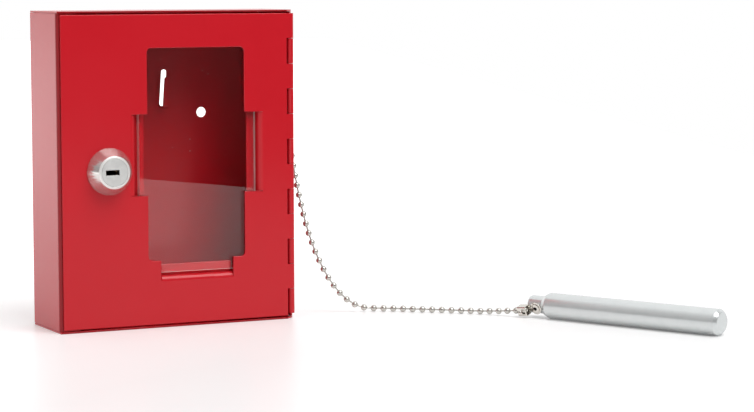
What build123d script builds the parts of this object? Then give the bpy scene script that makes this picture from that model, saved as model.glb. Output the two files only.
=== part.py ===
"""Break glass key box: a folded red steel case with a hinged, glazed door, a cam lock and a striker rod
on a ball chain.

Frame: origin at the centre of the case's bottom face, X to the right along the door, Y to the back,
Z up. Millimetres. The door faces -Y. The chain hangs from the right wall and lies on the ground with
the rod.
"""
from build123d import *
from math import cos, degrees, pi, radians, sin, tan
import os

# ---- case ----
BOX_W = 120.0            # overall width, height and depth
BOX_H = 150.0
BOX_D = 40.0
SHEET = 0.8              # steel sheet of the case and of the door
BEND_IN = 0.8            # inside radius of an ordinary bend
SEAM = 0.1               # open seam where a flap lies over a wall's edge
RELIEF = 0.4             # corner relief slot beside a bend
FLAP_CHAMFER = 4.0       # cut corner of the top and bottom flaps, where the hinge pin goes in
FLANGE_REACH = 10.0      # how far the left wall's front flange reaches in
HOLE_D = 5.0             # wall fixing holes
HOLE_SPACING = 54.0
HOLE_Z = 99.6

# ---- key hook, lanced out of the back ----
HOOK_X = 6.3
HOOK_W = 2.8
HOOK_REACH = 5.2
HOOK_FOOT_Z = 102.3
HOOK_BLANK = 18.6        # length of the strip that is cut free
HOOK_CORNER = 1.2        # rounding of the strip's end and of the slot that it leaves
HOOK_LEAN = 4.0          # degrees that the strip leans to the right
HOOK_BENDS = 1.7         # what its two bends add to its reach and rise

# ---- door and its rolled hinge ----
DOOR_GAP = 0.8           # running gap at the door's top and bottom
DOOR_REVEAL = 1.5        # case's left corner to the door's edge
DOOR_SEAT = 0.6          # door's back to the flange behind it
ROWS = 12                # knuckles, the door's and the case's by turns
ROW_FOOT = 1.0           # door's lower edge to the lowest knuckle
ROW_GAP = 0.16           # end play between two knuckles
NOTCH = 0.9              # clearance of a notch round the other sheet's knuckle
PIN_D = 1.4
PIN_PLAY = 0.08          # between the pin and the rolled sheet, on the radius

# ---- window, its lanced tabs and the pane ----
WIN_W = 49.5
WIN_H = 100.5
WIN_X = 8.75             # window's centre
WIN_Z = 82.25
WIN_CORNER = 2.2
SIDE_TAB = 38.3          # length of the side tabs
FOOT_TAB = 37.0          # length of the bottom tab
TAB_SET = 6.4            # window's edge to the tab's standing leg
TAB_SHIFT = 0.6          # the tabs stand this far to the right and down of that
TAB_HOOK = 0.7           # inside radius where it turns in behind the pane
TAB_LEG = 0.2            # straight part of the leg
TAB_LAP = 4.9            # leg to the tab's free end
GLASS_T = 3.0
GLASS_SIDE = 1.4         # pane's edge to each side leg, when it stands between them
GLASS_SHIFT = 0.3        # the loose pane stands this far to the right of there
GLASS_FOOT = 1.2         # pane's lower edge to the bottom leg
GLASS_H = 112.0
GLASS_PLAY = 0.1         # between the pane and a tab

# ---- cam lock ----
LOCK_INSET = 24.7        # case's left side to the lock's axis
LOCK_Z = 75.2
HEAD_D = 22.2            # cone's base on the door
HEAD_TOP_D = 15.6
HEAD_H = 7.5
HEAD_RIM = 0.8
HEAD_EDGE = 0.5          # bevel round the front ring
BARREL_D = 16.0
BARREL_FLATS = 14.0
BARREL_L = 8.0
BARREL_PLAY = 0.15       # in the door's hole
PLUG_HEAD_D = 12.9
PLUG_HEAD_T = 2.4
PLUG_D = 10.8
PLUG_PLAY = 0.08         # plug in its bore, on the radius
KEYWAY_W = 6.6
KEYWAY_H = 2.4
KEYWAY_SHIFT = -1.1      # the keyway stands off the plug's centre
WAFERS = 5
WAFER_START = 1.6        # back of the plug's head to the first wafer's middle
WAFER_PITCH = 2.1
WAFER_T = 0.9
WAFER_W = 5.4
WAFER_PLAY = 0.1
WAFER_LIFT = 0.5         # travel of a wafer out of the plug
WAFER_SLOT_W = 5.0       # key's window in a wafer
WAFER_SLOT_H = 3.2
WAFER_SLOT_X = -0.6
OVERCUT = 1.0            # how far a cutting shape runs past the face it opens
NUT_AF = 19.0
NUT_T = 4.0
NUT_CHAMFER = 0.8
WASHER_D = 19.0
WASHER_T = 0.8
TAIL_AF = 5.0            # square tail of the plug, which turns the cam
TAIL_PLAY = 0.1
STOP_GAP = 0.1           # barrel's end to the stop washer
STOP_T = 1.0
STOP_D = 15.0
STOP_LUG = 1.2           # how deep the lug reaches into the barrel's end
STOP_LUG_W = 2.4
STOP_WALL = 1.0          # barrel's wall left inside the bay that the lug turns in
STOP_PLAY = 0.2          # lug to the bay
STOP_SLACK = 4.0         # degrees that the bay is longer than the turn, at each end
LOCK_TURN = 90.0
CAM_T = 2.0
CAM_W = 13.0
CAM_REACH = 20.5
CAM_TIP = 5.0            # flat tip that goes behind the flange
CAM_GAP = 0.5            # cam's tip to the flange
CAM_CRANK = 3.0          # radial length of the crank
CAM_BEND = 0.8           # inside radius of its two bends
CAM_CORNER = 2.0         # rounding of the tip's corners
SCREW_D = 3.0
SCREW_HEAD_D = 6.0
SCREW_HEAD_T = 2.2
SCREW_ROUND = 0.9
CROSS_L = 3.2            # cross recess
CROSS_W = 0.8
CROSS_DEPTH = 1.2
SCREW_L = 5.0
LOCKWASHER_D = 6.2
LOCKWASHER_T = 0.8

# ---- ball chain ----
BEAD_D = 3.2
BEAD_PITCH = 4.85
BEAD_SIDES = 8           # a bead is faceted both ways, to keep 43 of them light
LINK_D = 0.9             # wire link between two beads
LINK_SIDES = 5
LINK_GAP = 0.05          # link's end to the bead
# Points that the chain's centre line is drawn round: it hangs from the wall coupling, reaches the ground
# and runs to the rod's coupling. The couplings give its two ends.
CHAIN_ROUTE = [
    (63.0, -4.1, 97.0), (65.3, -5.2, 76.0), (69.4, -6.9, 52.0), (75.3, -8.6, 31.0), (84.8, -10.5, 12.6),
    (96.4, -12.7, 2.0), (109.0, -17.8, 1.6), (122.2, -28.2, 1.6), (137.3, -40.8, 1.6), (151.8, -54.4, 1.7),
]

# ---- chain couplings: an eye with a folded cage that holds the chain's end bead ----
CLIP_T = 0.4
CLIP_L = 8.4             # eye's centre to the cage's mouth
CLIP_SEAT = 5.5          # eye's centre to the end bead's centre
CAGE_W = 5.0
CAGE_DEPTH = 4.2
CAGE_MOUTH = 2.0         # hole that the link leaves through
SLOT_X = 4.9             # eye's centre to the middle of the window in the cage's outer wall
SLOT_L = 1.9
SLOT_W = 2.6
SLIT_W = 0.7             # slit from that window to the mouth, for the link
NECK_L = 0.3             # eye's rim to the cage
NECK_W = 3.0
EYE_D = 6.2
EYE_PLAY = 0.06          # eye's hole, on the radius
EYE_GAP = 0.05           # between the eye and what is on each side of it
ANCHOR_Y = -3.8          # rivet on the right wall
ANCHOR_Z = 117.8
RIVET_D = 3.2
RIVET_HEAD_D = 6.0
RIVET_HEAD_T = 1.1
BULB_D = 4.5             # upset end inside the wall
BULB_L = 2.0
STEM_D = 1.7             # broken-off stem inside the rivet
STEM_PROUD = 0.6
BALL_D = 2.9             # ball on the stem's inner end
BALL_L = 1.6

# ---- striker rod, lying on the ground ----
ROD_D = 12.7
ROD_L = 98.7
ROD_CHAMFER = 1.5
TENON_D = 8.7
TENON_L = 9.3
TENON_ROUND = 2.0
ROD_X = 165.0            # centre of the tenon's end
ROD_Y = -66.8
ROD_TURN = -65.3         # the rod's direction, from +X
PIVOT_S = 6.0            # tenon's end to the pivot rivet
PIVOT_DROP = 20.0        # the pivot's axis dips below the horizontal
PIVOT_SWING = 5.0        # the coupling's turn on the pivot, from in line with the rod
PIVOT_D = 2.6
PIVOT_BORE = 1.8
PIVOT_FLARE_D = 4.4
PIVOT_FLARE_T = 0.4
FLAT_DEPTH = 0.12        # flat on the tenon under the eye
RIVET_FIT = 0.02         # rivets and stems to their holes, on the radius

# ---- worked out from the above ----
LEFT, RIGHT = -BOX_W / 2, BOX_W / 2
FRONT, BACK = -BOX_D / 2, BOX_D / 2
BEND_OUT = BEND_IN + SHEET
ROLL_IN = PIN_D / 2 + PIN_PLAY
ROLL_OUT = ROLL_IN + SHEET
LOCK_X = LEFT + LOCK_INSET
HINGE_X = RIGHT - ROLL_OUT
HINGE_Y = FRONT + ROLL_OUT
NOTCH_X = HINGE_X - ROLL_OUT - NOTCH
NOTCH_Y = HINGE_Y + ROLL_OUT + NOTCH
DOOR_X0 = LEFT + DOOR_REVEAL
DOOR_Z0 = SHEET + DOOR_GAP
DOOR_Z1 = BOX_H - SHEET - DOOR_GAP
DOOR_BACK = FRONT + SHEET
ROW_H = (DOOR_Z1 - DOOR_Z0 - ROW_FOOT) / ROWS
FLANGE_Y = DOOR_BACK + DOOR_SEAT          # front face of the left flange
GLASS_Y1 = DOOR_BACK + GLASS_T            # pane's back face
TAB_Y = GLASS_Y1 + GLASS_PLAY             # front face of a tab's free end
TAB_SWEEP = TAB_Y - FRONT - TAB_HOOK - TAB_LEG   # large radius where a tab leaves the door's face
GLASS_W = WIN_W + 2 * (TAB_SET - GLASS_SIDE)
GLASS_Z0 = WIN_Z - WIN_H / 2 - TAB_SET - TAB_SHIFT + GLASS_FOOT
HEAD_Y = FRONT - HEAD_H
BARREL_Y = FRONT + BARREL_L               # barrel's end inside the case
CAM_Y = BARREL_Y + STOP_GAP + STOP_T      # front face of the cam's hub
CAM_TIP_Y = FLANGE_Y + SHEET + CAM_GAP    # front face of the cam's tip
TAIL_Y = CAM_Y + CAM_T - 0.1              # end of the plug's tail, just inside the cam
SCREW_SEAT = CAM_Y + CAM_T + LOCKWASHER_T        # under the cam screw's head
ROD_Z = ROD_D / 2
TENON_FLAT = TENON_D / 2 - FLAT_DEPTH     # rod's axis to the flat under the eye
PLUG_BORE = PLUG_D + 2 * PLUG_PLAY
TAIL_HOLE = TAIL_AF + 2 * TAIL_PLAY


def bent(points, radii, thick=SHEET):
    """Section of folded sheet. Its skin runs through the points, with these radii at the corners, and
    the sheet lies on the right-hand side of the way they run."""
    skin = [Vector(*p) for p in points]
    ways = [(b - a).normalized() for a, b in zip(skin, skin[1:])]
    normals = [Vector(way.Y, -way.X) for way in ways]
    back = [skin[0] + normals[0] * thick]
    back_radii = []
    for point, way, after, n0, n1, radius in zip(skin[1:], ways, ways[1:], normals, normals[1:], radii):
        back.append(point + (n0 + n1) * (thick / (1 + n0.dot(n1))))
        turns_left = way.cross(after).Z > 0
        back_radii.append(radius + thick if turns_left else radius - thick)
    back.append(skin[-1] + normals[-1] * thick)
    outer = FilletPolyline(*skin, radius=list(radii))
    inner = FilletPolyline(*back, radius=back_radii)
    return make_face(outer.edges() + inner.edges() + Line(skin[0], back[0]).edges()
                     + Line(skin[-1], back[-1]).edges())


def block(x0, x1, y0, y1, z0, z1):
    """Plain block between two corners."""
    return Pos((x0 + x1) / 2, (y0 + y1) / 2, (z0 + z1) / 2) * Box(x1 - x0, y1 - y0, z1 - z0)


def drill(diameter, start, direction, length):
    """Cylinder from a start point along a direction."""
    return extrude(Plane(origin=start, z_dir=direction) * Circle(diameter / 2), amount=length)


def rows(first):
    """Heights of every other knuckle row, counted from the top."""
    for i in range(first, ROWS, 2):
        top = DOOR_Z1 - i * ROW_H
        yield top - ROW_H + ROW_GAP / 2, top - ROW_GAP / 2


# ---- case ----
def wrap():
    """Left flange, left wall, back and right wall, as one folded strip."""
    section = bent([(LEFT + FLANGE_REACH, FLANGE_Y), (LEFT, FLANGE_Y), (LEFT, BACK), (RIGHT, BACK),
                    (RIGHT, NOTCH_Y)], 3 * [BEND_OUT])
    z0, z1 = SHEET + SEAM, BOX_H - SHEET - SEAM
    strip = Pos(0, 0, z0) * extrude(section, amount=z1 - z0)
    bay = block(LEFT + BEND_OUT, RIGHT - BEND_OUT, BACK - BEND_OUT, BACK + OVERCUT, 0, BEND_OUT)
    return strip - bay - Pos(0, 0, BOX_H - BEND_OUT) * bay


def knuckle_profile():
    """Door's sheet rolled three quarters round the hinge axis, which is the origin here."""
    quarter = Pos(-ROLL_OUT, -ROLL_OUT) * Rectangle(2 * ROLL_OUT, 2 * ROLL_OUT)
    reach = ROLL_OUT + NOTCH
    lead_in = Pos(-reach / 2, -(ROLL_OUT + ROLL_IN) / 2) * Rectangle(reach, SHEET)
    return Circle(ROLL_OUT) - Circle(ROLL_IN) - quarter + lead_in


def knuckles(profile, first):
    profile = Pos(HINGE_X, HINGE_Y) * profile
    return [Pos(0, 0, z0) * extrude(profile, amount=z1 - z0) for z0, z1 in rows(first)]


def case_knuckles():
    """Rolls on the right wall's front edge: the door's, mirrored in the line between the two sheets."""
    return knuckles(mirror(knuckle_profile(), about=Plane(origin=(0, 0, 0), z_dir=(1, 1, 0))), 1)


def flap(is_top):
    """Top or bottom flap with the bend that joins it to the back."""
    half = RIGHT - BEND_OUT - RELIEF
    plane = Plane(origin=(-half, 0, 0), x_dir=(0, 1, 0), z_dir=(1, 0, 0))
    foot = BOX_H - BEND_OUT - 0.01
    section = bent([(BACK - 2 * BEND_OUT, BOX_H), (BACK, BOX_H), (BACK, foot)], [BEND_OUT])
    bend = extrude(plane * section, amount=2 * half)
    cut = FLAP_CHAMFER
    outline = Polyline((LEFT, FRONT), (RIGHT - cut, FRONT), (RIGHT, FRONT + cut), (RIGHT, BACK - BEND_OUT),
                       (LEFT, BACK - BEND_OUT), close=True)
    plate = Pos(0, 0, BOX_H - SHEET) * extrude(make_face(outline), amount=SHEET)
    whole = plate + bend
    return whole if is_top else Pos(0, 0, BOX_H / 2) * mirror(Pos(0, 0, -BOX_H / 2) * whole, about=Plane.XY)


def hook():
    """Key hook: a strip cut free on three sides, bent forward at its foot and then up."""
    plane = Plane(origin=(-HOOK_W / 2, 0, 0), x_dir=(0, 1, 0), z_dir=(1, 0, 0))
    rise, front = HOOK_BLANK - HOOK_REACH + HOOK_BENDS, BACK - SHEET - HOOK_REACH
    section = bent([(BACK - SHEET / 2, 0), (front, 0), (front, rise)], [BEND_OUT])
    return extrude(plane * section, amount=HOOK_W) & hook_plan(-rise, rise, front - SHEET)


def hook_plan(z0, z1, y):
    """Round-cornered outline of the hook's strip between two heights, from a depth to behind the back."""
    facing = Plane(origin=(0, y, (z0 + z1) / 2), x_dir=(1, 0, 0), z_dir=(0, -1, 0))
    return extrude(facing * RectangleRounded(HOOK_W, z1 - z0, HOOK_CORNER), amount=y - BACK - OVERCUT)


def housing():
    shell = wrap() + case_knuckles() + [flap(True), flap(False)]
    leaning = Pos(HOOK_X, 0, HOOK_FOOT_Z) * Rot(0, HOOK_LEAN, 0)
    shell = shell - leaning * hook_plan(SHEET, HOOK_BLANK, BACK - 2 * SHEET) + leaning * hook()
    for side in (-1, 1):
        shell -= drill(HOLE_D, (side * HOLE_SPACING / 2, BACK - 2 * SHEET, HOLE_Z), (0, 1, 0), 4 * SHEET)
    return shell - drill(RIVET_D, (RIGHT - 2 * SHEET, ANCHOR_Y, ANCHOR_Z), (1, 0, 0), 4 * SHEET)


# ---- door ----
def tab_profile():
    """Section of a tab in (distance out from the window's edge, depth): it sweeps back off the door's
    face, stands beside the pane's edge and turns in behind the pane."""
    return bent([(TAB_SET + TAB_SWEEP + 0.1, FRONT), (TAB_SET, FRONT), (TAB_SET, TAB_Y),
                 (TAB_SET - TAB_LAP, TAB_Y)], [TAB_SWEEP, TAB_HOOK])


def tab(length):
    """Tab along Z, centred, leaving the window's edge towards +X."""
    return Pos(0, 0, -length / 2) * extrude(tab_profile(), amount=length)


def door_panel():
    sheet = block(DOOR_X0, NOTCH_X, FRONT, DOOR_BACK, DOOR_Z0, DOOR_Z1)
    sheet += knuckles(knuckle_profile(), 0)

    facing = Plane(origin=(WIN_X, FRONT - OVERCUT, WIN_Z), x_dir=(1, 0, 0), z_dir=(0, -1, 0))
    gap = TAB_SET + TAB_SWEEP
    openings = RectangleRounded(WIN_W, WIN_H, WIN_CORNER)
    openings += Pos(TAB_SHIFT, 0) * Rectangle(WIN_W + 2 * gap, SIDE_TAB)
    openings += Pos(0, -(gap + TAB_SHIFT) / 2) * Rectangle(FOOT_TAB, WIN_H + gap + TAB_SHIFT)
    sheet -= extrude(facing * openings, amount=-SHEET - 2 * OVERCUT)

    side = tab(SIDE_TAB)
    sheet += Pos(WIN_X + TAB_SHIFT + WIN_W / 2, 0, WIN_Z) * side
    sheet += Pos(WIN_X + TAB_SHIFT - WIN_W / 2, 0, WIN_Z) * mirror(side, about=Plane.YZ)
    sheet += Pos(WIN_X, 0, WIN_Z - WIN_H / 2 - TAB_SHIFT) * Rot(0, 90, 0) * tab(FOOT_TAB)

    hole = flatted_circle(BARREL_D + 2 * BARREL_PLAY, BARREL_FLATS + 2 * BARREL_PLAY)
    return sheet - extrude(lock_plane(FRONT - OVERCUT) * hole, amount=-SHEET - 2 * OVERCUT)


def glass_pane():
    middle = WIN_X + TAB_SHIFT + GLASS_SHIFT
    return block(middle - GLASS_W / 2, middle + GLASS_W / 2, DOOR_BACK, GLASS_Y1, GLASS_Z0, GLASS_Z0 + GLASS_H)


def hinge_pin():
    z0, z1 = DOOR_Z0 + ROW_FOOT, DOOR_Z1
    return Pos(HINGE_X, HINGE_Y, (z0 + z1) / 2) * Cylinder(PIN_D / 2, z1 - z0)


# ---- lock: all of it is drawn round an axis through (LOCK_X, LOCK_Z), along Y ----
def lock_plane(y):
    """Plane across the lock's axis that faces the front, with its own X to the right."""
    return Plane(origin=(LOCK_X, y, LOCK_Z), x_dir=(1, 0, 0), z_dir=(0, -1, 0))


def on_axis(sketch, y0, y1):
    """Sketch across the lock's axis, extruded from depth y0 back to y1."""
    return extrude(lock_plane(y1) * sketch, amount=y1 - y0)


def flatted_circle(diameter, across):
    return Circle(diameter / 2) & Rectangle(diameter + 1, across)


def sector(radius, centre_angle, half_angle):
    """Pie slice round the origin."""
    a, b = radians(centre_angle - half_angle), radians(centre_angle + half_angle)
    reach = radius / cos(radians(half_angle)) * 1.01
    return make_face(Polyline((0, 0), (reach * cos(a), reach * sin(a)), (reach * cos(b), reach * sin(b)),
                              close=True))


def lock_housing():
    base, top = HEAD_D / 2, HEAD_TOP_D / 2
    recess = PLUG_HEAD_D / 2 + PLUG_PLAY
    bore = PLUG_BORE / 2
    step = HEAD_Y + PLUG_HEAD_T + PLUG_PLAY
    half = Polyline((bore, FRONT), (base, FRONT), (base, FRONT - HEAD_RIM), (top, HEAD_Y + HEAD_EDGE),
                    (top - HEAD_EDGE, HEAD_Y), (recess, HEAD_Y), (recess, step), (bore, step), close=True)
    head = revolve(Plane.XY * make_face(half), axis=Axis.Y)
    head = Pos(LOCK_X, 0, LOCK_Z) * head
    barrel = on_axis(flatted_circle(BARREL_D, BARREL_FLATS) - Circle(bore), FRONT, BARREL_Y)
    groove_w = WAFER_W + 2 * WAFER_PLAY
    groove = 2 * (PLUG_D / 2 + WAFER_LIFT + WAFER_PLAY)
    cross = Rectangle(groove, groove_w) + Rectangle(groove_w, groove)
    grooves = on_axis(cross - Circle(bore - 0.01), wafer_y(0) - WAFER_T, wafer_y(WAFERS - 1) + WAFER_T)
    half_lug = degrees(STOP_LUG_W / STOP_D) + STOP_SLACK
    stop_bay = sector(BARREL_D / 2, 90 - LOCK_TURN / 2, LOCK_TURN / 2 + half_lug) - Circle(bore + STOP_WALL)
    return head + barrel - grooves - on_axis(stop_bay, BARREL_Y - STOP_LUG - STOP_PLAY, BARREL_Y)


def wafer_y(i):
    """Depth of a wafer's middle."""
    return HEAD_Y + PLUG_HEAD_T + WAFER_START + i * WAFER_PITCH


def plug():
    front = on_axis(Circle(PLUG_HEAD_D / 2), HEAD_Y, HEAD_Y + PLUG_HEAD_T)
    body = on_axis(Circle(PLUG_D / 2), HEAD_Y + PLUG_HEAD_T, BARREL_Y)
    tail = on_axis(Rectangle(TAIL_AF, TAIL_AF), BARREL_Y, TAIL_Y)
    whole = front + body + tail
    keyway = Pos(KEYWAY_SHIFT, 0) * Rectangle(KEYWAY_W, KEYWAY_H)
    whole -= on_axis(keyway, HEAD_Y - OVERCUT, wafer_y(WAFERS - 1) + WAFER_T)
    for i in range(WAFERS):
        y = wafer_y(i)
        cut = Rectangle(PLUG_D + 2 * OVERCUT, WAFER_W + 2 * WAFER_PLAY)
        whole -= on_axis(cut, y - WAFER_T / 2 - WAFER_PLAY, y + WAFER_T / 2 + WAFER_PLAY)
    thread_depth = TAIL_Y - (SCREW_SEAT - SCREW_L) + 0.3
    return whole - drill(SCREW_D, (LOCK_X, TAIL_Y, LOCK_Z), (0, -1, 0), thread_depth)


def wafers():
    """Brass plates across the plug, each with a window for the key."""
    outline = Rectangle(PLUG_D - 0.1, WAFER_W) & Circle(PLUG_D / 2 - 0.02)
    plate = outline - Pos(WAFER_SLOT_X, 0) * Rectangle(WAFER_SLOT_W, WAFER_SLOT_H)
    return [on_axis(plate, wafer_y(i) - WAFER_T / 2, wafer_y(i) + WAFER_T / 2) for i in range(WAFERS)]


def lock_washer():
    ring = Circle(WASHER_D / 2) - flatted_circle(BARREL_D + 2 * BARREL_PLAY, BARREL_FLATS + 2 * BARREL_PLAY)
    return on_axis(ring, DOOR_BACK, DOOR_BACK + WASHER_T)


def lock_nut():
    y0 = DOOR_BACK + WASHER_T
    hexagon = Rot(0, 0, 30) * RegularPolygon(NUT_AF / 2, 6, major_radius=False)
    nut = on_axis(hexagon - Circle(BARREL_D / 2 + BARREL_PLAY), y0, y0 + NUT_T)
    turned = on_axis(Circle(NUT_AF / 2 + NUT_CHAMFER), y0, y0 + NUT_T)
    return nut & chamfer(turned.edges(), NUT_CHAMFER)


def stop_washer():
    """Disc on the plug's tail whose lug turns in the barrel's bay and stops the lock at both ends."""
    disc = on_axis(Circle(STOP_D / 2) - Rectangle(TAIL_HOLE, TAIL_HOLE), BARREL_Y + STOP_GAP, CAM_Y)
    r0, r1 = PLUG_BORE / 2 + STOP_WALL + STOP_PLAY, STOP_D / 2 - STOP_PLAY
    lug = Pos(0, (r0 + r1) / 2) * Rectangle(STOP_LUG_W, r1 - r0)
    return disc + on_axis(lug, BARREL_Y - STOP_LUG, BARREL_Y + STOP_GAP)


def cam():
    """Cranked cam, drawn pointing down: its tip stands forward of its hub."""
    r_tip = CAM_REACH - CAM_TIP
    side = Plane(origin=(LOCK_X - CAM_W / 2, 0, LOCK_Z), x_dir=(0, 1, 0), z_dir=(1, 0, 0))
    section = bent([(CAM_TIP_Y, -CAM_REACH), (CAM_TIP_Y, -r_tip), (CAM_Y, CAM_CRANK - r_tip), (CAM_Y, CAM_W)],
                   [CAM_BEND + CAM_T, CAM_BEND], CAM_T)
    strip = extrude(side * section, amount=CAM_W)
    plan = Circle(CAM_W / 2) + Pos(0, -CAM_REACH / 2) * RectangleRounded(CAM_W, CAM_REACH, CAM_CORNER)
    return strip & on_axis(plan - Rectangle(TAIL_HOLE, TAIL_HOLE), CAM_TIP_Y - OVERCUT, CAM_Y + CAM_T + OVERCUT)


def cam_lockwasher():
    y0 = CAM_Y + CAM_T
    return on_axis(Circle(LOCKWASHER_D / 2) - Circle(SCREW_D / 2 + 0.1), y0, y0 + LOCKWASHER_T)


def cam_screw():
    seat = SCREW_SEAT
    head = on_axis(Circle(SCREW_HEAD_D / 2), seat, seat + SCREW_HEAD_T)
    head = chamfer(head.edges().sort_by(Axis.Y)[-1], SCREW_ROUND)
    top = seat + SCREW_HEAD_T
    for turn in (0, 90):
        head -= on_axis(Rot(0, 0, turn) * Rectangle(CROSS_L, CROSS_W), top - CROSS_DEPTH, top + OVERCUT)
    return head + on_axis(Circle(SCREW_D / 2 - RIVET_FIT), seat - SCREW_L, seat)


# ---- chain ----
def corner_radii(points):
    """Arc at each inner point: 0.45 of the shorter run, over the tangent of half the turn."""
    vectors = [Vector(*p) for p in points]
    radii = []
    for a, b, c in zip(vectors, vectors[1:], vectors[2:]):
        turn = radians((b - a).get_angle(c - b))
        radii.append(0.45 * min((b - a).length, (c - b).length) / tan(turn / 2))
    return radii


def bead():
    """Faceted ball with the volume of a round bead, its poles on Z."""
    step = 180 / BEAD_SIDES
    radius = BEAD_D / 2 / cos(radians(step))
    latitudes = [step * (2 * i + 1) - 90 for i in range(BEAD_SIDES // 2)]
    rings = [Pos(0, 0, radius * sin(radians(lat)))
             * RegularPolygon(radius * cos(radians(lat)), BEAD_SIDES, major_radius=False, rotation=step)
             for lat in latitudes]
    ball = loft(rings, ruled=True)
    return scale(ball, (pi / 6 * BEAD_D ** 3 / ball.volume) ** (1 / 3))


def chain_beads_and_links():
    """Beads at an even pitch along the route, and the wire link between each two."""
    ends = [tuple(seat.position) for seat in (bead_seat(wall_seat()), bead_seat(rod_seat()))]
    points = [ends[0]] + CHAIN_ROUTE + [ends[1]]
    radii = corner_radii(points)
    path = FilletPolyline(*points, radius=radii)
    count = round(path.length / BEAD_PITCH) + 1
    pitch = path.length / (count - 1)
    centres = [path.position_at(i * pitch, position_mode=PositionMode.LENGTH) for i in range(count)]
    one = bead()
    beads = []
    for before, centre, after in zip(centres[:1] + centres, centres, centres[1:] + centres[-1:]):
        along = (after - before).normalized()
        beads.append(Location(Plane(origin=centre, x_dir=along.cross(Vector(0, 0, 1)), z_dir=along)) * one)
    links = []
    reach = BEAD_D / 2 + LINK_GAP
    for a, b in zip(centres, centres[1:]):
        along = (b - a).normalized()
        end = Plane(origin=a + along * reach, z_dir=along)
        links.append(extrude(end * RegularPolygon(LINK_D / 2, LINK_SIDES), amount=(b - a).length - 2 * reach))
    print("chain: length %.1f, %d beads at %.2f, tightest arc %.1f" % (path.length, count, pitch, min(radii)))
    print("chain radii:", " ".join("%.0f" % r for r in radii))
    volume = sum(b.volume for b in beads)
    print("bead volume %.1f, expected %.1f" % (volume, count * pi / 6 * BEAD_D ** 3))
    return beads, links


def clip(hole_d):
    """Coupling in its own frame: eye round the origin, lying on Z = 0, with a cage towards +X that
    stands up from the same plane and holds the end bead."""
    rim, x0 = EYE_D / 2, EYE_D / 2 + NECK_L
    eye = Circle(rim) - Circle(hole_d / 2 + EYE_PLAY)
    neck = Pos(x0, 0) * Rectangle(2 * NECK_L + 1.0, NECK_W) - Circle(rim - NECK_L)
    flat = extrude(eye + neck, amount=CLIP_T)
    walls = RectangleRounded(CAGE_W, CAGE_DEPTH, 2 * CLIP_T)
    inside = RectangleRounded(CAGE_W - 2 * CLIP_T, CAGE_DEPTH - 2 * CLIP_T, CLIP_T)
    across = Plane(origin=(x0, 0, CAGE_DEPTH / 2), x_dir=(0, 1, 0), z_dir=(1, 0, 0))
    cage = extrude(across * (walls - inside), amount=CLIP_L - x0)
    mouth = across.offset(CLIP_L - x0 - CLIP_T)
    cage += extrude(mouth * (walls - Circle(CAGE_MOUTH / 2)), amount=CLIP_T)
    window = Pos(SLOT_X, 0) * Rectangle(SLOT_L, SLOT_W)
    slit = Pos((SLOT_X + CLIP_L) / 2, 0) * Rectangle(CLIP_L - SLOT_X, SLIT_W)
    return flat + cage - Pos(0, 0, CAGE_DEPTH - 2 * CLIP_T) * extrude(window + slit, amount=4 * CLIP_T)


def bead_seat(seat):
    """Where a coupling holds the end bead."""
    return seat * Pos(CLIP_SEAT, 0, CAGE_DEPTH / 2)


def parts_of(shapes):
    """Separate solids kept side by side in one node."""
    return Compound(children=[s if isinstance(s, Solid) else s.solids()[0] for s in shapes])


def wall_seat():
    """Frame of the wall coupling: it hangs down the right wall from the rivet."""
    return Location(Plane(origin=(RIGHT, ANCHOR_Y, ANCHOR_Z), x_dir=(0, 0, -1), z_dir=(1, 0, 0)))


def rod_frame():
    """Frame of the rod: origin at the tenon's end, Z along the rod."""
    a = radians(ROD_TURN)
    return Plane(origin=(ROD_X, ROD_Y, ROD_Z), x_dir=(0, 0, 1), z_dir=(cos(a), sin(a), 0))


def pivot_axis():
    """Direction of the pivot rivet out of the tenon: to the front, dipping to the ground."""
    a, drop = radians(ROD_TURN), radians(PIVOT_DROP)
    return Vector(sin(a) * cos(drop), -cos(a) * cos(drop), -sin(drop))


def pivot_point(offset):
    """Point on the pivot's axis, at a distance from the rod's axis."""
    a = radians(ROD_TURN)
    base = Vector(ROD_X + PIVOT_S * cos(a), ROD_Y + PIVOT_S * sin(a), ROD_Z)
    return base + pivot_axis() * offset


def striker_rod():
    tenon_r, rod_r = TENON_D / 2, ROD_D / 2
    total = TENON_L + ROD_L
    half = Polyline((0, 0), (tenon_r, 0), (tenon_r, TENON_L), (rod_r - ROD_CHAMFER, TENON_L),
                    (rod_r, TENON_L + 2 * ROD_CHAMFER), (rod_r, total - ROD_CHAMFER),
                    (rod_r - ROD_CHAMFER, total), (0, total), close=True)
    profile = make_face(half)
    round_corner = [v for v in profile.vertices() if abs(v.X - tenon_r) < 1e-6 and abs(v.Y) < 1e-6]
    profile = fillet(round_corner, TENON_ROUND)
    upright = revolve(Plane.XZ * profile, axis=Axis.Z)
    rod = rod_frame().location * upright
    out = pivot_axis()
    through = drill(PIVOT_D, pivot_point(-TENON_D), out, 2 * TENON_D)
    reach = PIVOT_S + EYE_D / 2 + 0.2
    flat = tenon_seat() * Pos(PIVOT_S - reach / 2, 0, TENON_D / 2) * Box(reach, TENON_D, TENON_D)
    spot = drill(EYE_D, pivot_point(-TENON_FLAT), out * -1, TENON_D)
    return rod - through - flat - spot


def pivot_rivet():
    """Tubular rivet through the tenon and the coupling's eye, flared at both ends."""
    out = pivot_axis()
    front, back = TENON_FLAT + CLIP_T + 2 * EYE_GAP, TENON_FLAT
    tube = drill(PIVOT_D - 2 * RIVET_FIT, pivot_point(-back), out, front + back)
    flares = [drill(PIVOT_FLARE_D, pivot_point(front), out, PIVOT_FLARE_T),
              drill(PIVOT_FLARE_D, pivot_point(-back), out * -1, PIVOT_FLARE_T)]
    bore = drill(PIVOT_BORE, pivot_point(-2 * TENON_D), out, 4 * TENON_D)
    return tube + flares - bore


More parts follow.
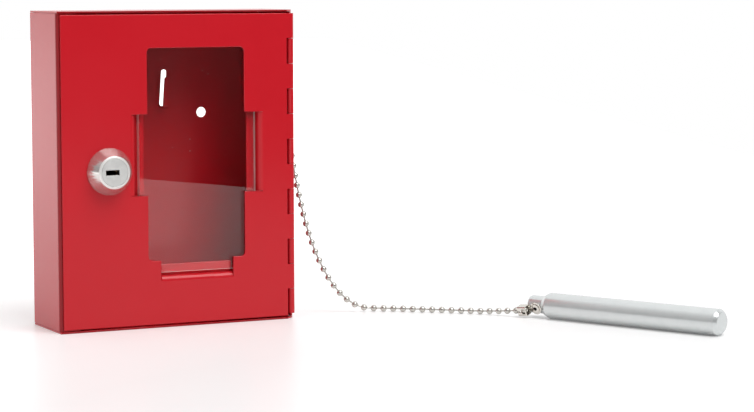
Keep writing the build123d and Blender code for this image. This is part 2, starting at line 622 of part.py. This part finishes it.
def tenon_seat(gap=0):
    """Frame of the flat on the tenon: origin on the pivot's axis, X along the tenon to its end."""
    a = radians(ROD_TURN)
    return Location(Plane(origin=pivot_point(TENON_FLAT + gap), x_dir=(-cos(a), -sin(a), 0),
                          z_dir=pivot_axis()))


def rod_seat():
    """Frame of the rod's coupling: on the flat, turned a little from in line with the rod."""
    return tenon_seat(EYE_GAP) * Rot(0, 0, PIVOT_SWING)


def anchor_rivet():
    """Blind rivet that holds the wall coupling to the right wall."""
    r, dome = RIVET_HEAD_D / 2, RIVET_HEAD_T
    side = Line((0, 0), (r, 0)) + ThreePointArc((r, 0), (0.64 * r, 0.8 * dome), (0, dome))
    head = revolve(Plane.XY * make_face(side + Line((0, dome), (0, 0))), axis=Axis.Y)
    head = Pos(RIGHT + CLIP_T, ANCHOR_Y, ANCHOR_Z) * Rot(0, 0, -90) * head
    inner = (RIGHT - SHEET, ANCHOR_Y, ANCHOR_Z)
    shank = drill(RIVET_D - 2 * RIVET_FIT, inner, (1, 0, 0), SHEET + CLIP_T)
    bulb = drill(BULB_D, inner, (-1, 0, 0), BULB_L)
    bore = drill(STEM_D, (RIGHT - 2 * BULB_L, ANCHOR_Y, ANCHOR_Z), (1, 0, 0), 4 * BULB_L)
    return head + shank + bulb - bore


def rivet_stem():
    """Stem left in the blind rivet, with its ball inside the wall."""
    start = (RIGHT - SHEET - BULB_L, ANCHOR_Y, ANCHOR_Z)
    shank = drill(STEM_D - 2 * RIVET_FIT, start, (1, 0, 0), BULB_L + SHEET + CLIP_T + STEM_PROUD)
    return shank + drill(BALL_D, start, (-1, 0, 0), BALL_L)


def main():
    beads, links = chain_beads_and_links()
    nodes = {
        "housing": housing(),
        "hinge_pin": hinge_pin(),
        "door_panel": door_panel(),
        "glass_pane": glass_pane(),
        "lock_housing": lock_housing(),
        "lock_washer": lock_washer(),
        "lock_nut": lock_nut(),
        "lock_plug": plug(),
        "plug_wafers": parts_of(wafers()),
        "stop_washer": stop_washer(),
        "lock_cam": cam(),
        "cam_lockwasher": cam_lockwasher(),
        "cam_screw": cam_screw(),
        "anchor_rivet": anchor_rivet(),
        "anchor_rivet_stem": rivet_stem(),
        "wall_coupling": wall_seat() * clip(RIVET_D),
        "chain_beads": parts_of(beads),
        "chain_links": parts_of(links),
        "rod_coupling": rod_seat() * clip(PIVOT_D),
        "pivot_rivet": pivot_rivet(),
        "striker_rod": striker_rod(),
    }
    os.makedirs("parts", exist_ok=True)
    for name, shape in nodes.items():
        print("%-18s %d solids, %.1f mm3" % (name, len(shape.solids()), shape.volume))
        export_step(shape, "parts/%s.step" % name)


main()
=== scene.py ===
"""Break glass key box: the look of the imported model, in a plain white studio.

Metres, in the model's frame: X to the right along the door, Y to the back, Z up.
"""
from math import asin, cos, pi, radians, sin

import bmesh
import bpy
from mathutils import Matrix, Vector


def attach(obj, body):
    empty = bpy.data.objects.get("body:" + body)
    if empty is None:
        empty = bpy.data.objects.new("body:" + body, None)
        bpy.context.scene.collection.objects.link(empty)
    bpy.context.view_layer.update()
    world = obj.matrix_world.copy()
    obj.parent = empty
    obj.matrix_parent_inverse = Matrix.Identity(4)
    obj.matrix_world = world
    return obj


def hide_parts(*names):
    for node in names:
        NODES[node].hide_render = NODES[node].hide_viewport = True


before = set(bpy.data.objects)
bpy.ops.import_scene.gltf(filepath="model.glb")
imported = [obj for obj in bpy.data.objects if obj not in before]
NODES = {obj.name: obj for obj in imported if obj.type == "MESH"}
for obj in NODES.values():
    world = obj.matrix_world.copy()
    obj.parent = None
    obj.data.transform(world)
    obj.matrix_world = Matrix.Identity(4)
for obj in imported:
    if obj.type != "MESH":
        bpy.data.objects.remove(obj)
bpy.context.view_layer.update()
MM = 0.001

# ---- the photograph's camera, solved from the case's corners ----
IMAGE_W = 754            # px
FOCAL_PX = 2442.0
SENSOR_MM = 36.0
CAMERA_AT = (-0.4318, -1.0936, 0.1656)
CAMERA_TARGET = (0.1144, 0.0, 0.0509)
CAMERA_ROLL = -0.11      # degrees
CAMERA_CLIP = (0.01, 50)

# ---- ball chain ----
BEADS = 43
BEAD_D = 3.2 * MM
BEAD_HOLE_D = 1.25 * MM
BEAD_LIP = 0.12 * MM     # its sheet, turned in at the hole
BEAD_FLOOR = 0.35 * MM   # how far inside the hole it is closed
BEAD_RINGS, BEAD_SIDES = 12, 20
PIN_D = 0.9 * MM
PIN_SINK = 0.3 * MM      # how far a pin reaches into a bead
PIN_SIDES = 10
# from the pin's end to its waist: the share of its half length and the share of its radius
PIN_SHAPE = ((1.0, 0.9), (0.8, 1.0), (0.5, 0.86))
# from the coupling on the right wall, down and along the ground to the coupling on the rod
CHAIN_ROUTE = [Vector(p) * MM for p in (
    (62.1, -3.8, 112.3), (63.0, -4.1, 97.0), (65.3, -5.2, 76.0), (69.4, -6.9, 52.0),
    (75.3, -8.6, 31.0), (84.8, -10.5, 12.6), (96.4, -12.7, 2.0), (109.0, -17.8, 1.6),
    (122.2, -28.2, 1.6), (137.3, -40.8, 1.6), (151.8, -54.4, 1.7), (159.92, -69.71, 3.72),
)]
ROUTE_ORDER = 3          # of the curve along those points
ROUTE_STEPS = 24         # from each of them to the next

# ---- where a node's second material goes: painted shade, painted highlights, and the pane's cut edges ----
HINGE_FROM = 54.5 * MM   # the sheets to the right of this are the hinge's rows
CASE_FORWARD = 0.15      # least share of the front in the normal of the case's faces that take painted shade
CASE_FRONT = -19.1 * MM  # the case's flaps are cut in front of this
CASE_BEND_X = -58.3 * MM   # and its left wall is bent over to the left of this
CASE_BEND_Y = -16.9 * MM   # and in front of this
DOOR_MIDDLE = -19.6 * MM   # half-way through the door's sheet
DOOR_MIDDLE_PLAY = 0.1 * MM
LEVEL = 0.7              # least share of Z in the normal of a level face
ALONG = 0.5              # a face whose normal has less of an axis than this runs along that axis
LOCK_X, LOCK_Z = -35.3 * MM, 75.2 * MM
KEYWAY_R = 4.6 * MM      # the keyway's walls, which take painted shade, are the plug's faces this near its axis
RING_Y = -27.0 * MM      # the faces of the lock's head in front of this are its ring, which takes a painted highlight
PIVOT = Vector((167.51, -72.25, 6.35)) * MM
PIVOT_AXIS = Vector((-0.85372, -0.39267, -0.34202))
PIVOT_BORE_R = 1.0 * MM  # the bore's walls, which take painted shade, are the pivot rivet's faces this near its axis

# ---- rounded edges ----
SHARP = 35.0             # degrees from which an edge is rounded
FLAT = 0.5               # degrees up to which two faces are taken as one
WELD = 0.001 * MM
ROUNDING_STEPS = 3
HINGE_ROUNDING = 0.15    # of the ordinary rounding, so that the gaps between the rows stay narrow
MICRONS = 1e6            # in a metre

# ---- table, room and lamps ----
# The table's front edge on the ground: two points that the door's reflection shows it to pass through.
EDGE_A, EDGE_B = Vector((0.291, -0.833, 0)), Vector((0.335, -0.714, 0))
TABLE_FROM, TABLE_TO = -4, 6     # along that edge, from its first point
TABLE_DEPTH = 9
TABLE_WHITE = 0.80
TABLE_GLOW = 0.10        # what camera, glossy and transmitted rays see on top, to keep the table white
GLOW_FAR = 1.1           # and far behind the box
GLOW_CENTRE = (0.1, -0.45, 0)
GLOW_SPAN = (0.34, 1.6)  # the distances from that centre between which the glow grows
# What glossy and transmitted rays see of the room, by the direction they take. It is white behind.
FRONT_SPAN = (0.1, -0.35)    # of Y: from the room behind to the room in front
LEFT_SPAN = (-0.35, -0.95)   # of X: from the room behind to the room at the left
LEVEL_SPAN = (-0.09, -0.03)  # of Z: from below the table's edge to eye level
HIGH_SPAN = (0.0, 0.7)       # of Z: from eye level to overhead
ROOM_LOW, ROOM_LEVEL, ROOM_HIGH = 0.01, 0.09, 0.45   # in front, at those three heights
ROOM_LEFT = 0.36
FILL, FILL_FRONT = 0.50, 0.33    # the world's light on everything, from behind and from the front


# ---- helpers for node trees ----
def feed(tree, socket, value):
    """Sets a socket to a number or colour, or links it to the socket that feeds it."""
    if isinstance(value, bpy.types.NodeSocket):
        tree.links.new(value, socket)
    else:
        socket.default_value = value


def add(tree, kind, values=None, **props):
    """New node with its properties, and the values or links of its sockets."""
    node = tree.nodes.new(kind)
    for name, value in props.items():
        setattr(node, name, value)
    for name, value in (values or {}).items():
        feed(tree, node.inputs[name], value)
    return node


def shader(name, **values):
    """Material with one Principled shader: (material, tree, shader)."""
    material = bpy.data.materials.new(name)
    material.use_nodes = True
    tree = material.node_tree
    bsdf = tree.nodes["Principled BSDF"]
    for key, value in values.items():
        bsdf.inputs[key.replace("_", " ")].default_value = value
    return material, tree, bsdf


def coat(tree, bsdf, colour, rough):
    """Varied colour and roughness for a shader."""
    feed(tree, bsdf.inputs["Base Color"], colour)
    feed(tree, bsdf.inputs["Roughness"], rough)


def bump(tree, bsdf, height, depth, strength=0.6):
    """Relief of this depth in metres."""
    normal = add(tree, "ShaderNodeBump", {"Height": height, "Distance": depth, "Strength": strength})
    feed(tree, bsdf.inputs["Normal"], normal.outputs["Normal"])


def place(tree, stretch=(1, 1, 1)):
    """Position on the object in metres, scaled along the axes."""
    coords = add(tree, "ShaderNodeTexCoord").outputs["Object"]
    return add(tree, "ShaderNodeMapping", {"Vector": coords, "Scale": stretch}).outputs["Vector"]


def noise(tree, where, size, detail=3, roughness=0.5):
    """Noise from 0 to 1 whose patches are about this size, in metres."""
    return add(tree, "ShaderNodeTexNoise", {
        "Vector": where, "Scale": 1 / size, "Detail": detail, "Roughness": roughness}).outputs["Fac"]


def spread(tree, value, span=(0.0, 1.0), to=(0.0, 1.0)):
    """Value from one span to another, clamped."""
    return add(tree, "ShaderNodeMapRange", {
        "Value": value, "From Min": span[0], "From Max": span[1], "To Min": to[0], "To Max": to[1],
    }).outputs["Result"]


def mix(tree, factor, a, b):
    """Colour from a to b by a factor."""
    return add(tree, "ShaderNodeMix", {0: factor, 6: a, 7: b}, data_type="RGBA").outputs[2]


def calc(tree, operation, a, b):
    return add(tree, "ShaderNodeMath", {0: a, 1: b}, operation=operation).outputs[0]


def specks(tree, where, apart, channel, chosen, fade):
    """1 on a speck, 0 between them. The cells are about this far apart. Those that one channel of their
    random colour picks out have a speck in their middle, which fades out over the other span."""
    cells = add(tree, "ShaderNodeTexVoronoi", {"Vector": where, "Scale": 1 / apart, "Randomness": 1.0})
    lot = add(tree, "ShaderNodeSeparateColor", {"Color": cells.outputs["Color"]}).outputs[channel]
    speck = spread(tree, cells.outputs["Distance"], fade)
    return calc(tree, "MULTIPLY", speck, spread(tree, lot, chosen))


def rgb(r, g, b, dim=1.0):
    return (r * dim, g * dim, b * dim, 1.0)


def grey(level):
    return rgb(level, level, level)


# ---- materials ----
def red_paint(name, deep, light):
    """Smooth powder coat between two reds: faint orange peel and a few pale specks."""
    material, tree, bsdf = shader(name, IOR=1.5, Specular_IOR_Level=0.38)
    where = place(tree)
    speck = specks(tree, where, apart=12 * MM, channel="Red", chosen=(0.88, 0.89), fade=(0.022, 0.012))
    colour = mix(tree, noise(tree, where, 60 * MM), rgb(*deep), rgb(*light))
    colour = mix(tree, calc(tree, "MULTIPLY", speck, 0.35), colour, rgb(0.85, 0.45, 0.45))
    coat(tree, bsdf, colour, spread(tree, noise(tree, where, 30 * MM, detail=2), to=(0.17, 0.25)))
    peel = calc(tree, "ADD", noise(tree, where, 1.6 * MM, detail=1), calc(tree, "MULTIPLY", speck, 0.6))
    bump(tree, bsdf, peel, 0.012 * MM)
    return material


def nickel(name, colour, rough, metallic, dull=0.93):
    """Nickel plate with fine scuffs. Darker by the factor dull, and smoother, in the patches of a cloud.
    """
    material, tree, bsdf = shader(name, Metallic=metallic)
    where = place(tree)
    cloud = noise(tree, where, 3 * MM)
    coat(tree, bsdf, mix(tree, cloud, rgb(*colour, dim=dull), rgb(*colour)),
         spread(tree, cloud, to=rough))
    bump(tree, bsdf, noise(tree, where, 0.6 * MM), 0.002 * MM, 0.5)
    return material


def plated_steel(name, colour, rough=(0.28, 0.45), depth=0.006 * MM, metallic=1.0):
    """Zinc plate over steel or plain metal, with fine marks and a pale bloom."""
    material, tree, bsdf = shader(name, Metallic=metallic)
    where = place(tree)
    marks = noise(tree, where, 0.8 * MM, roughness=0.6)
    bloom = noise(tree, where, 6 * MM, detail=4, roughness=0.65)
    tone = mix(tree, bloom, rgb(*colour, dim=0.86), rgb(*colour))
    tone = mix(tree, calc(tree, "MULTIPLY", marks, 0.25), tone, rgb(*colour, dim=0.8))
    coat(tree, bsdf, tone, spread(tree, bloom, (0.3, 0.7), rough))
    bump(tree, bsdf, marks, depth)
    return material


def window_glass():
    """Clear float glass with dust. Light for shadows goes straight through it, a little dimmed."""
    material, tree, bsdf = shader("window_glass", IOR=1.46, Roughness=0.0, Transmission_Weight=1.0,
                                  Base_Color=rgb(0.955, 0.985, 0.97))
    speck = specks(tree, place(tree), apart=6 * MM, channel="Green", chosen=(0.78, 0.79),
                   fade=(0.04, 0.02))
    dust = add(tree, "ShaderNodeBsdfDiffuse", {"Color": rgb(0.8, 0.75, 0.75)})
    dusty = add(tree, "ShaderNodeMixShader", {
        0: calc(tree, "MULTIPLY", speck, 0.45), 1: bsdf.outputs[0], 2: dust.outputs[0]})
    clear = add(tree, "ShaderNodeBsdfTransparent", {"Color": rgb(0.90, 0.92, 0.91)})
    path = add(tree, "ShaderNodeLightPath").outputs
    both = add(tree, "ShaderNodeMixShader", {
        0: path["Is Shadow Ray"], 1: dusty.outputs[0], 2: clear.outputs[0]})
    feed(tree, tree.nodes["Material Output"].inputs["Surface"], both.outputs[0])
    return material


def ground_glass_painted_reflection():
    """The pane's cut edges, ground dull. Their pink is a painted reflection of the door's red, made pale
    as a painted highlight.
    """
    material, tree, bsdf = shader("ground_glass_painted_reflection", IOR=1.5, Transmission_Weight=0.3)
    grind = noise(tree, place(tree, (1, 1, 0.3)), 1.2 * MM, detail=4, roughness=0.6)
    coat(tree, bsdf, mix(tree, grind, rgb(0.82, 0.36, 0.37), rgb(0.97, 0.50, 0.50)),
         spread(tree, noise(tree, place(tree), 4 * MM), to=(0.40, 0.65)))
    bump(tree, bsdf, grind, 0.03 * MM)
    return material


def wafer_brass():
    """Stamped brass, clouded with tarnish."""
    material, tree, bsdf = shader("wafer_brass", Metallic=1.0)
    cloud = noise(tree, place(tree), 2 * MM)
    coat(tree, bsdf, mix(tree, cloud, rgb(0.42, 0.24, 0.10), rgb(0.62, 0.42, 0.2)),
         spread(tree, cloud, (0.3, 0.7), (0.25, 0.4)))
    return material


PAINT = red_paint("red_paint", (0.545, 0.0075, 0.0155), (0.585, 0.0095, 0.0195))
# Painted shade: a dark red for the case's bent left front edge and the cut edges of its flaps, where the
# door shades them.
PAINTED_SHADE_BEND = red_paint("painted_shade_bend", (0.30, 0.004, 0.009), (0.34, 0.005, 0.011))
# Painted highlight: a pale pink for the level cut edges in the door's sheet, where they catch the light.
PAINTED_HIGHLIGHT_CUT = red_paint("painted_highlight_cut", (0.74, 0.15, 0.17), (0.80, 0.18, 0.20))
GLASS = window_glass()
GLASS_EDGE = ground_glass_painted_reflection()
HAZY_NICKEL = nickel("hazy_nickel", (0.76, 0.73, 0.71), (0.14, 0.22), 0.88)
# Painted highlight: a paler and rougher nickel for the ring of the lock's head.
PAINTED_HIGHLIGHT_RING = nickel("painted_highlight_ring_nickel", (0.95, 0.94, 0.92), (0.38, 0.48), 0.7)
SATIN_NICKEL = nickel("satin_nickel", (0.86, 0.86, 0.84), (0.36, 0.54), 0.8, dull=0.78)
CHAIN_NICKEL = nickel("chain_nickel", (0.61, 0.59, 0.55), (0.22, 0.30), 0.85)
COUPLING_NICKEL = nickel("coupling_nickel", (0.74, 0.71, 0.66), (0.11, 0.18), 0.95)
# Painted shade: near black for the walls of the keyway and of the pivot rivet's bore.
PAINTED_SHADE_RECESS = nickel("painted_shade_recess", (0.06, 0.055, 0.05), (0.5, 0.7), 0.5)
ZINC = plated_steel("zinc_plate", (0.62, 0.63, 0.64))
ROD_ZINC = plated_steel("rod_zinc", (0.75, 0.78, 0.78), (0.16, 0.22), 0.003 * MM, 0.6)
ALUMINIUM = plated_steel("rivet_aluminium", (0.74, 0.75, 0.76))
DULL_STEEL = plated_steel("dull_steel", (0.36, 0.36, 0.37), (0.4, 0.55))
BRASS = wafer_brass()

# each node's finish, the second material on some of its faces (painted shade, painted highlights, and the
# pane's cut edges with a painted reflection), and the rounding of its edges in millimetres
LOOKS = {
    "housing": (PAINT, PAINTED_SHADE_BEND, 0.12),
    "hinge_pin": (ZINC, None, 0.1),
    "door_panel": (PAINT, PAINTED_HIGHLIGHT_CUT, 0.38),
    "glass_pane": (GLASS, GLASS_EDGE, 0.12),
    "lock_housing": (HAZY_NICKEL, PAINTED_HIGHLIGHT_RING, 0.12),
    "lock_washer": (ZINC, None, 0.08),
    "lock_nut": (ZINC, None, 0.12),
    "lock_plug": (SATIN_NICKEL, PAINTED_SHADE_RECESS, 0.12),
    "plug_wafers": (BRASS, None, 0),
    "stop_washer": (ZINC, None, 0.08),
    "lock_cam": (ZINC, None, 0.2),
    "cam_lockwasher": (ZINC, None, 0),
    "cam_screw": (ZINC, None, 0.08),
    "anchor_rivet": (ALUMINIUM, None, 0.06),
    "anchor_rivet_stem": (DULL_STEEL, None, 0),
    "wall_coupling": (COUPLING_NICKEL, None, 0.06),
    "rod_coupling": (COUPLING_NICKEL, None, 0.06),
    "pivot_rivet": (COUPLING_NICKEL, PAINTED_SHADE_RECESS, 0.06),
    "striker_rod": (ROD_ZINC, None, 0.2),
}


def takes_second(name, face):
    """Whether a face takes its node's second material: painted shade on the case's bent and cut front
    edges, a painted highlight on the level edges cut in the door's sheet, the pane's cut edges with a
    painted reflection of the door's red, painted shade on the walls of the keyway and of the pivot
    rivet's bore, and a painted highlight on the ring of the lock's head."""
    at, normal = face.center, face.normal
    # painted shade on the case's bent left front edge and its cut flap edges
    if name == "housing":
        at_bend = at.x < CASE_BEND_X and at.y < CASE_BEND_Y
        at_cut = at.x < HINGE_FROM and at.y < CASE_FRONT
        return normal.y < -CASE_FORWARD and (at_bend or at_cut)
    # painted highlight on the level cut edges of the door's sheet
    if name == "door_panel":
        return abs(normal.z) > LEVEL and abs(at.y - DOOR_MIDDLE) < DOOR_MIDDLE_PLAY
    # the pane's cut edges, whose pink is a painted reflection
    if name == "glass_pane":
        return abs(normal.y) < ALONG
    # painted shade on the keyway's walls
    if name == "lock_plug":
        off = Vector((at.x - LOCK_X, at.z - LOCK_Z))
        return abs(normal.y) < ALONG and off.length < KEYWAY_R
    # painted shade in the pivot rivet's bore
    if name == "pivot_rivet":
        off = at - PIVOT
        off -= off.project(PIVOT_AXIS)
        return abs(normal.dot(PIVOT_AXIS)) < ALONG and off.length < PIVOT_BORE_R
    # painted highlight on the ring of the lock's head
    return name == "lock_housing" and normal.y < -ALONG and at.y < RING_Y


def weigh_edges(name):
    """Marks each sharp edge of a node for rounding. The faces of a CAD mesh don't share their vertices,
    so the two faces at an edge are matched by its ends."""
    mesh = NODES[name].data
    spots = [tuple(round(c * MICRONS) for c in vertex.co) for vertex in mesh.vertices]
    ends = {edge.index: frozenset(spots[v] for v in edge.vertices) for edge in mesh.edges}
    index_of = {edge.key: edge.index for edge in mesh.edges}
    normals = {}
    for face in mesh.polygons:
        for key in face.edge_keys:
            normals.setdefault(ends[index_of[key]], []).append(face.normal.copy())
    weights = mesh.attributes.new("bevel_weight_edge", "FLOAT", "EDGE")
    in_sheet = name in ("housing", "door_panel")
    for edge in mesh.edges:
        pair = normals[ends[edge.index]]
        if len(pair) == 2 and pair[0].angle(pair[1], 0.0) > radians(SHARP):
            at_hinge = in_sheet and all(mesh.vertices[v].co.x > HINGE_FROM for v in edge.vertices)
            weights.data[edge.index].value = HINGE_ROUNDING if at_hinge else 1.0


def dress(name, finish, second, rounding):
    """Gives a CAD node its materials, smooth shading and rounded edges."""
    node = NODES[name]
    node.data.materials.clear()
    node.data.materials.append(finish)
    if second:
        node.data.materials.append(second)
    for face in node.data.polygons:
        face.use_smooth = True
        face.material_index = int(takes_second(name, face))
    if not rounding:
        return
    weigh_edges(name)
    weld = node.modifiers.new("weld", "WELD")
    weld.merge_threshold = WELD
    planar = node.modifiers.new("planar", "DECIMATE")
    planar.decimate_type = "DISSOLVE"
    planar.angle_limit = radians(FLAT)
    edge = node.modifiers.new("edge", "BEVEL")
    edge.width = rounding * MM
    edge.segments = ROUNDING_STEPS
    edge.limit_method = "WEIGHT"
    edge.use_clamp_overlap = False
    weighted = node.modifiers.new("normals", "WEIGHTED_NORMAL")
    weighted.keep_sharp = True


def in_scene(name, data):
    """New object in the scene."""
    thing = bpy.data.objects.new(name, data)
    bpy.context.scene.collection.objects.link(thing)
    return thing


# ---- ball chain ----
def route_points():
    """Points along the chain's smooth line, read from a NURBS curve."""
    curve = bpy.data.curves.new("chain_route", "CURVE")
    curve.dimensions = "3D"
    curve.resolution_u = ROUTE_STEPS
    spline = curve.splines.new("NURBS")
    spline.points.add(len(CHAIN_ROUTE) - 1)
    for point, where in zip(spline.points, CHAIN_ROUTE):
        point.co = (*where, 1.0)
    spline.order_u = ROUTE_ORDER
    spline.use_endpoint_u = True
    spline.resolution_u = ROUTE_STEPS
    holder = bpy.data.objects.new("chain_route", curve)
    mesh = bpy.data.meshes.new_from_object(holder)
    points = [v.co.copy() for v in mesh.vertices]
    bpy.data.objects.remove(holder)
    bpy.data.meshes.remove(mesh)
    bpy.data.curves.remove(curve)
    return points


def even_stations(points, count):
    """Evenly spaced (point, direction) along a polyline, from its first point to its last."""
    runs = [(b - a).length for a, b in zip(points, points[1:])]
    pitch = sum(runs) / (count - 1)
    stations, i, passed = [], 0, 0.0
    for k in range(count):
        target = k * pitch
        while i < len(runs) - 1 and passed + runs[i] < target:
            passed += runs[i]
            i += 1
        way = (points[i + 1] - points[i]).normalized()
        stations.append((points[i] + way * min(target - passed, runs[i]), way))
    return stations


def lathe(mesh, profile, sides, centre, axis):
    """Turns a profile of (radius, height), which starts and ends on the axis, round an axis."""
    turn = axis.to_track_quat("Z", "Y").to_matrix().to_4x4()
    frame_at = Matrix.Translation(centre) @ turn
    angles = [2 * pi * k / sides for k in range(sides)]
    rings = []
    for radius, height in profile:
        ring = [(radius * cos(a), radius * sin(a)) for a in angles] if radius else [(0, 0)]
        rings.append([mesh.verts.new(frame_at @ Vector((x, y, height))) for x, y in ring])
    for low, high in zip(rings, rings[1:]):
        for k in range(sides):
            n = (k + 1) % sides
            corners = ([low[0], high[n], high[k]] if len(low) == 1 else
                       [low[k], low[n], high[0]] if len(high) == 1 else
                       [low[k], low[n], high[n], high[k]])
            mesh.faces.new(corners).smooth = True


def mirrored(profile):
    """The same profile at the other end, back to the axis."""
    return [(radius, -height) for radius, height in reversed(profile)]


def bead_profile():
    """Hollow ball with a turned-in hole at each pole, closed a little way inside."""
    r, hole = BEAD_D / 2, BEAD_HOLE_D / 2
    rim = asin(hole / r)
    arc = [rim + (pi - 2 * rim) * i / BEAD_RINGS for i in range(BEAD_RINGS + 1)]
    ball = [(r * sin(a), -r * cos(a)) for a in arc]
    inner, pole = hole - BEAD_LIP, -r * cos(rim)
    start = [(0, pole + BEAD_FLOOR), (inner, pole + BEAD_FLOOR), (inner, pole + BEAD_LIP / 2)]
    return start + ball + mirrored(start)


def pin_profile(length):
    """Wire pin: thicker where its heads sit inside the beads."""
    r, half = PIN_D / 2, length / 2
    start = [(0, -half)] + [(r * width, -half * where) for where, width in PIN_SHAPE]
    return start + mirrored(start)


def ball_chain():
    """All beads and the pins between them as one piece, along the route."""
    path = route_points()
    stations = even_stations(path, BEADS)
    pitch = (stations[1][0] - stations[0][0]).length
    pin = pin_profile(pitch - BEAD_D + 2 * PIN_SINK)
    mesh = bmesh.new()
    for centre, way in stations:
        lathe(mesh, bead_profile(), BEAD_SIDES, centre, way)
    for (a, _), (b, _) in zip(stations, stations[1:]):
        lathe(mesh, pin, PIN_SIDES, (a + b) / 2, (b - a).normalized())
    bmesh.ops.recalc_face_normals(mesh, faces=mesh.faces)
    data = bpy.data.meshes.new("ball_chain")
    mesh.to_mesh(data)
    mesh.free()
    chain = in_scene("ball_chain", data)
    data.materials.append(CHAIN_NICKEL)
    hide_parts("chain_beads", "chain_links")
    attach(chain, "case")


# ---- stage ----
def aim(at, target):
    """Rotation of a camera or lamp that looks from one point at another."""
    return (Vector(target) - Vector(at)).to_track_quat("-Z", "Y")


def table():
    """White table top, which ends in front of the box along its edge line."""
    way = (EDGE_B - EDGE_A).normalized()
    side = Vector((-way.y, way.x, 0)) * TABLE_DEPTH
    near, far = EDGE_A + way * TABLE_FROM, EDGE_A + way * TABLE_TO
    data = bpy.data.meshes.new("table_top")
    data.from_pydata([near, far, far + side, near + side], [], [(0, 1, 2, 3)])
    top = in_scene("table_top", data)
    material, tree, bsdf = shader("table_white", Roughness=0.35, IOR=1.3, Base_Color=grey(TABLE_WHITE),
                                  Emission_Color=grey(1))
    path = add(tree, "ShaderNodeLightPath").outputs
    seen = calc(tree, "MAXIMUM", path["Is Camera Ray"], path["Is Transmission Ray"])
    seen = calc(tree, "MAXIMUM", seen, path["Is Glossy Ray"])
    away = add(tree, "ShaderNodeVectorMath", {0: place(tree), 1: GLOW_CENTRE}, operation="DISTANCE")
    glow = spread(tree, away.outputs["Value"], GLOW_SPAN, (TABLE_GLOW, GLOW_FAR))
    feed(tree, bsdf.inputs["Emission Strength"], calc(tree, "MULTIPLY", seen, glow))
    data.materials.append(material)


def surroundings():
    """White behind the box. Glossy and transmitted rays see a dark room in front of the table and to its
    left."""
    world = bpy.data.worlds.new("studio")
    world.use_nodes = True
    bpy.context.scene.world = world
    tree = world.node_tree
    ways = add(tree, "ShaderNodeSeparateXYZ", {
        "Vector": add(tree, "ShaderNodeTexCoord").outputs["Generated"]}).outputs
    front = spread(tree, ways["Y"], FRONT_SPAN)
    ahead = calc(tree, "ADD", spread(tree, ways["Z"], LEVEL_SPAN, (ROOM_LOW, ROOM_LEVEL)),
                 spread(tree, ways["Z"], HIGH_SPAN, (0.0, ROOM_HIGH - ROOM_LEVEL)))
    room = mix(tree, spread(tree, ways["X"], LEFT_SPAN), grey(1), grey(ROOM_LEFT))
    room = mix(tree, front, room, ahead)
    path = add(tree, "ShaderNodeLightPath").outputs
    sharp = calc(tree, "MAXIMUM", path["Is Glossy Ray"], path["Is Transmission Ray"])
    tone = mix(tree, sharp, mix(tree, front, grey(FILL), grey(FILL_FRONT)), room)
    tone = mix(tree, path["Is Camera Ray"], tone, grey(1))
    feed(tree, tree.nodes["Background"].inputs["Color"], tone)


def softbox(name, at, target, size, radiance, glossy=True):
    """Rectangular lamp, whose power comes from the radiance of its face. When it is not glossy, metal and
    paint take its light without mirroring it."""
    data = bpy.data.lights.new(name, "AREA")
    data.shape = "RECTANGLE"
    data.size, data.size_y = size
    data.energy = radiance * pi * data.size * data.size_y
    lamp = in_scene(name, data)
    lamp.location = at
    lamp.rotation_euler = aim(at, target).to_euler()
    lamp.visible_glossy = glossy


def camera():
    data = bpy.data.cameras.new("camera")
    data.sensor_width = SENSOR_MM
    data.lens = FOCAL_PX / IMAGE_W * SENSOR_MM
    data.clip_start, data.clip_end = CAMERA_CLIP
    eye = in_scene("camera", data)
    eye.matrix_world = (Matrix.Translation(CAMERA_AT) @ aim(CAMERA_AT, CAMERA_TARGET).to_matrix().to_4x4()
                        @ Matrix.Rotation(radians(CAMERA_ROLL), 4, "Z"))
    bpy.context.scene.camera = eye


for node_name, look in LOOKS.items():
    dress(node_name, *look)
ball_chain()
table()
surroundings()
softbox("key", (0.34, -0.96, 1.40), (0.03, 0, 0.05), (1.2, 1.2), 4.8)
softbox("top", (0.2, 0.1, 1.7), (0.1, 0, 0), (1.8, 1.4), 0.75, glossy=False)
softbox("back_left", (-0.62, 1.65, 0.35), (-0.06, 0, 0.08), (2.2, 1.0), 0.22)
softbox("left", (-1.6, -0.15, 0.6), (-0.06, 0, 0.08), (0.8, 0.8), 1.7, glossy=False)
camera()
bpy.context.scene.view_settings.view_transform = "Standard"
